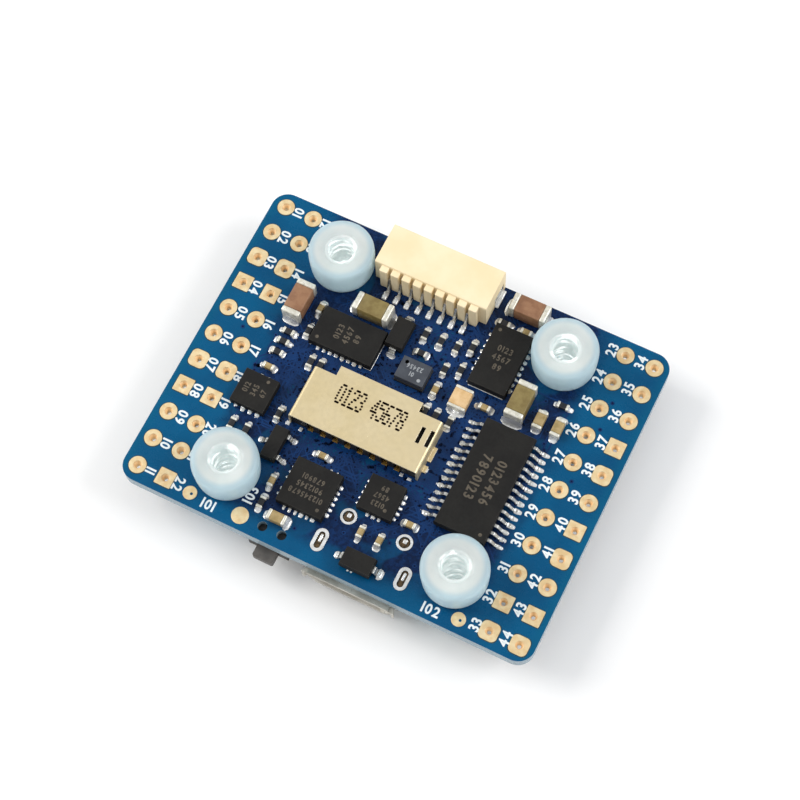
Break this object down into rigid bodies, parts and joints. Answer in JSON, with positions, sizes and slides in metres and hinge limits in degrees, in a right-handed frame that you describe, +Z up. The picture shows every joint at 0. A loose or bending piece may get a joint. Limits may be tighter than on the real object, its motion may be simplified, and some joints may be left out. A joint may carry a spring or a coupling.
{
  "type": "flight controller board",
  "caption": "Small rectangular autopilot circuit board on soft corner grommets, with edge solder pads, side connector, card socket, USB socket and boot button.",
  "frame": {"origin": "centre of the 20 x 20 mm grommet pattern, on the plane of the grommets' lower faces", "axes": "+X along the board's long side, +Y to the edge with the 8-way connector, +Z up from the processor side to the connector side"},
  "size_m": [0.036, 0.0289, 0.0074],
  "materials": {
    "board": "gloss",
    "gold": "satin",
    "solder": "satin",
    "silicone": "satin",
    "cream_plastic": "matte",
    "tin": "satin",
    "shell_steel": "satin",
    "black_plastic": "matte",
    "gold_spring": "gloss",
    "nickel": "satin",
    "button_grey": "matte",
    "chip_epoxy": "matte",
    "sensor_lid": "satin",
    "brown_ceramic": "satin",
    "gold_ceramic": "satin",
    "orange_ceramic": "satin",
    "tan_ceramic": "satin",
    "cap_end": "satin",
    "resistor_black": "satin",
    "ferrite": "matte",
    "lamp": "gloss"
  },
  "bodies": {
    "board": {"circuit_board": "board", "signal_pads_left": "gold", "signal_pads_right": "gold", "ground_pads": "gold", "supply_pads": "gold", "test_pads": "gold", "shell_tab_pads": "solder", "grommet_front_left": "silicone", "grommet_front_right": "silicone", "grommet_back_left": "silicone", "grommet_back_right": "silicone", "connector_housing": "cream_plastic", "connector_pins": "tin", "connector_tabs": "tin", "card_socket_shell": "shell_steel", "card_socket_base": "black_plastic", "card_socket_contacts": "gold_spring", "usb_shell": "nickel", "usb_tongue": "black_plastic", "usb_contacts": "gold_spring", "button_body": "black_plastic", "button_cover": "nickel", "button_dome": "nickel", "video_chip": "chip_epoxy", "video_chip_leads": "tin", "processor": "chip_epoxy", "processor_leads": "tin", "motion_sensor_large": "chip_epoxy", "motion_sensor_large_terminals": "tin", "motion_sensor_small": "chip_epoxy", "motion_sensor_small_terminals": "tin", "pressure_sensor_lid": "sensor_lid", "pressure_sensor_base": "black_plastic", "regulator_left": "chip_epoxy", "regulator_right": "chip_epoxy", "regulator_terminals": "tin", "switch_chip": "chip_epoxy", "switch_chip_terminals": "tin", "transistor": "chip_epoxy", "transistor_leads": "tin", "diodes": "chip_epoxy", "diode_leads": "tin", "bulk_caps_brown": "brown_ceramic", "bulk_caps_gold": "gold_ceramic", "bulk_cap_ends": "cap_end", "filter_cap": "orange_ceramic", "filter_cap_ends": "cap_end", "medium_caps": "tan_ceramic", "medium_cap_ends": "cap_end", "small_caps": "tan_ceramic", "small_cap_ends": "cap_end", "resistors": "resistor_black", "resistor_ends": "cap_end", "inductors": "ferrite", "inductor_ends": "tin", "crystal": "nickel", "crystal_base": "brown_ceramic", "status_leds": "lamp", "status_led_ends": "cap_end"},
    "button": {"boot_button": "button_grey"}
  },
  "joints": [
    {"name": "button_press", "type": "slide", "parent": "board", "child": "button", "axis": [0, 1, 0], "range_m": [0, 0.0002], "stiffness_N_per_m": 400, "springref_m": -0.0002}
  ]
}
